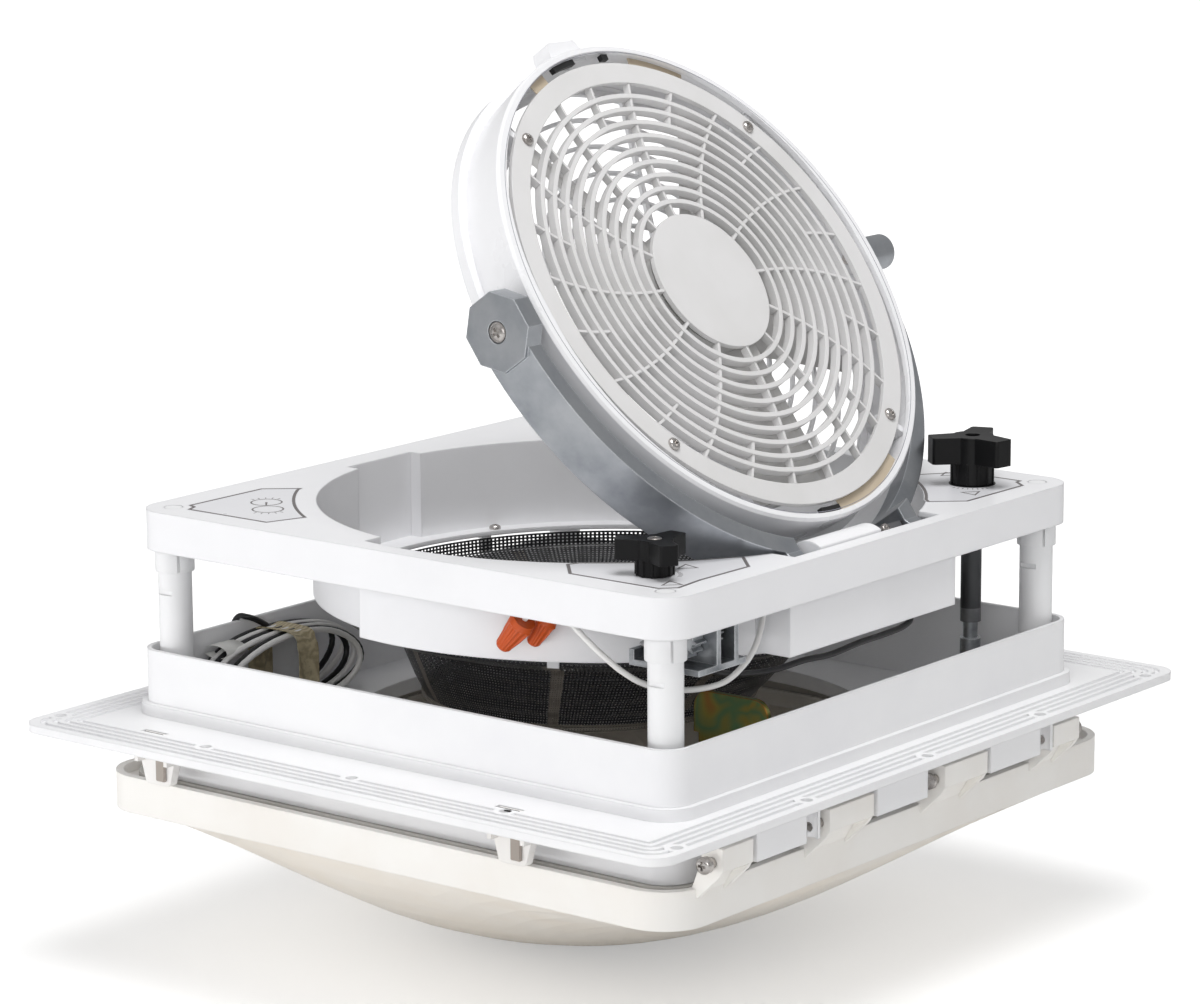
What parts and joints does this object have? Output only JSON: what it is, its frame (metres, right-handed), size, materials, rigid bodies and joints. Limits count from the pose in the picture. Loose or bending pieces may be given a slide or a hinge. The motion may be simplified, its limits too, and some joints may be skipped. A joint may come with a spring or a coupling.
{
  "type": "roof vent fan",
  "caption": "Powered roof vent for a camper: hinged domed lid on a worm-driven lift arm, insect screen, trim frame and a fan head on a cast yoke that swings up or folds away",
  "frame": {"origin": "centre of the roof screw pattern on the face that seats on the roof", "axes": "Z points from the roof seat down into the room, as the part stands in the picture; X points to the hinge side; Y points to the rear edge, away from the clipped edge"},
  "size_m": [0.4168, 0.4572, 0.4741],
  "materials": {
    "white_plastic": "satin white injection moulding",
    "lid_plastic": "satin off-white moulding",
    "dome_plastic": "warm translucent beige, thermoformed",
    "grille_plastic": "light grey moulding",
    "blade_plastic": "pearly translucent moulding",
    "cast_alloy": "as-cast, mottled, bright edges",
    "zinc_cast": "die-cast zinc alloy",
    "bright_steel": "bright plated",
    "chromate_steel": "iridescent yellow chromate",
    "brass_screw": "plain turned",
    "grey_plate": "mid grey satin",
    "black_plastic": "fine grain moulding",
    "foam_strip": "soft grey foam strip",
    "black_mesh": "black coated wire mesh",
    "black_lead_skin": "lead insulation",
    "white_lead_skin": "lead insulation",
    "tan_tape": "creased paper tape",
    "orange_nut": "moulded",
    "motor_paint": "dark enamel"
  },
  "bodies": {
    "base": {"vent_base": "white_plastic", "edge_clips": "white_plastic", "corner_posts": "white_plastic", "post_screws": "bright_steel", "trim_frame": "white_plastic", "post_sleeves": "white_plastic", "ledge_screws": "bright_steel", "bug_screen": "black_mesh", "screen_straps": "white_plastic", "hinge_housing": "white_plastic", "hinge_barrel": "white_plastic", "fan_gearbox": "zinc_cast", "lid_gearbox": "zinc_cast", "lift_bracket": "chromate_steel", "bracket_screws": "brass_screw", "hinge_pins": "bright_steel", "black_coil": "black_lead_skin", "white_coil": "white_lead_skin", "coil_tape": "tan_tape", "wire_nuts": "orange_nut", "white_lead": "white_lead_skin", "black_lead": "black_lead_skin"},
    "lay_shaft": {"lay_shaft": "zinc_cast"},
    "fan_knob": {"fan_knob": "black_plastic", "fan_knob_screw": "brass_screw", "fan_worm": "zinc_cast"},
    "lid_knob": {"lid_knob": "black_plastic", "tele_shaft": "bright_steel", "lid_worm": "zinc_cast"},
    "lid": {"lid_frame": "lid_plastic", "lid_dome": "dome_plastic", "lid_gasket": "foam_strip", "lid_track": "bright_steel", "track_screws": "bright_steel"},
    "lift": {"lift_shaft": "bright_steel", "lift_arm": "bright_steel", "lift_roller": "black_plastic"},
    "yoke": {"yoke": "cast_alloy", "hinge_shaft": "zinc_cast", "foot_plate": "grey_plate", "foot_screw": "bright_steel", "pivot_screws": "bright_steel"},
    "fan_head": {"fan_casing": "white_plastic", "fan_rear_cover": "white_plastic", "front_grille": "grille_plastic", "grille_screws": "bright_steel", "fan_motor": "motor_paint", "pivot_bushes": "zinc_cast"},
    "rotor": {"fan_blades": "blade_plastic"}
  },
  "joints": [
    {"name": "yoke_swing", "type": "hinge", "parent": "base", "child": "yoke", "pos_m": [0.16, 0, 0.097], "axis": [0, 1, 0], "range_deg": [-54.2, 35.8]},
    {"name": "lay_spin", "type": "hinge", "parent": "base", "child": "lay_shaft", "pos_m": [0.152, -0.136, 0.08088], "axis": [0, 1, 0], "range_deg": [-20.5, 30.9]},
    {"name": "fan_knob_turn", "type": "hinge", "parent": "base", "child": "fan_knob", "pos_m": [0.135, -0.136, 0.1], "axis": [0, 0, 1], "range_deg": [-430, 285]},
    {"name": "fan_tilt", "type": "hinge", "parent": "yoke", "child": "fan_head", "pos_m": [0.05838, 0, 0.22098], "axis": [0, 1, 0], "range_deg": [-5, 5]},
    {"name": "rotor_spin", "type": "hinge", "parent": "fan_head", "child": "rotor", "pos_m": [0.05838, 0, 0.22098], "axis": [0.8111, 0, 0.585], "continuous": true},
    {"name": "lid_hinge", "type": "hinge", "parent": "base", "child": "lid", "pos_m": [0.198, 0, -0.015], "axis": [0, -1, 0], "range_deg": [0, 75]},
    {"name": "lift_turn", "type": "hinge", "parent": "base", "child": "lift", "pos_m": [0.117, 0, -0.034], "axis": [0, -1, 0], "range_deg": [-0.5, 143]},
    {"name": "lid_knob_turn", "type": "hinge", "parent": "base", "child": "lid_knob", "pos_m": [0.135, 0.136, 0.1], "axis": [0, 0, 1], "range_deg": [-2000, 5]}
  ],
  "couplings": [
    {"joint": "lay_spin", "follows": "yoke_swing", "ratio": -0.56522},
    {"joint": "fan_knob_turn", "follows": "yoke_swing", "ratio": 7.913},
    {"joint": "lift_turn", "follows": "lid_hinge", "ratio": 1.9},
    {"joint": "lid_knob_turn", "follows": "lid_hinge", "ratio": -26.6}
  ]
}
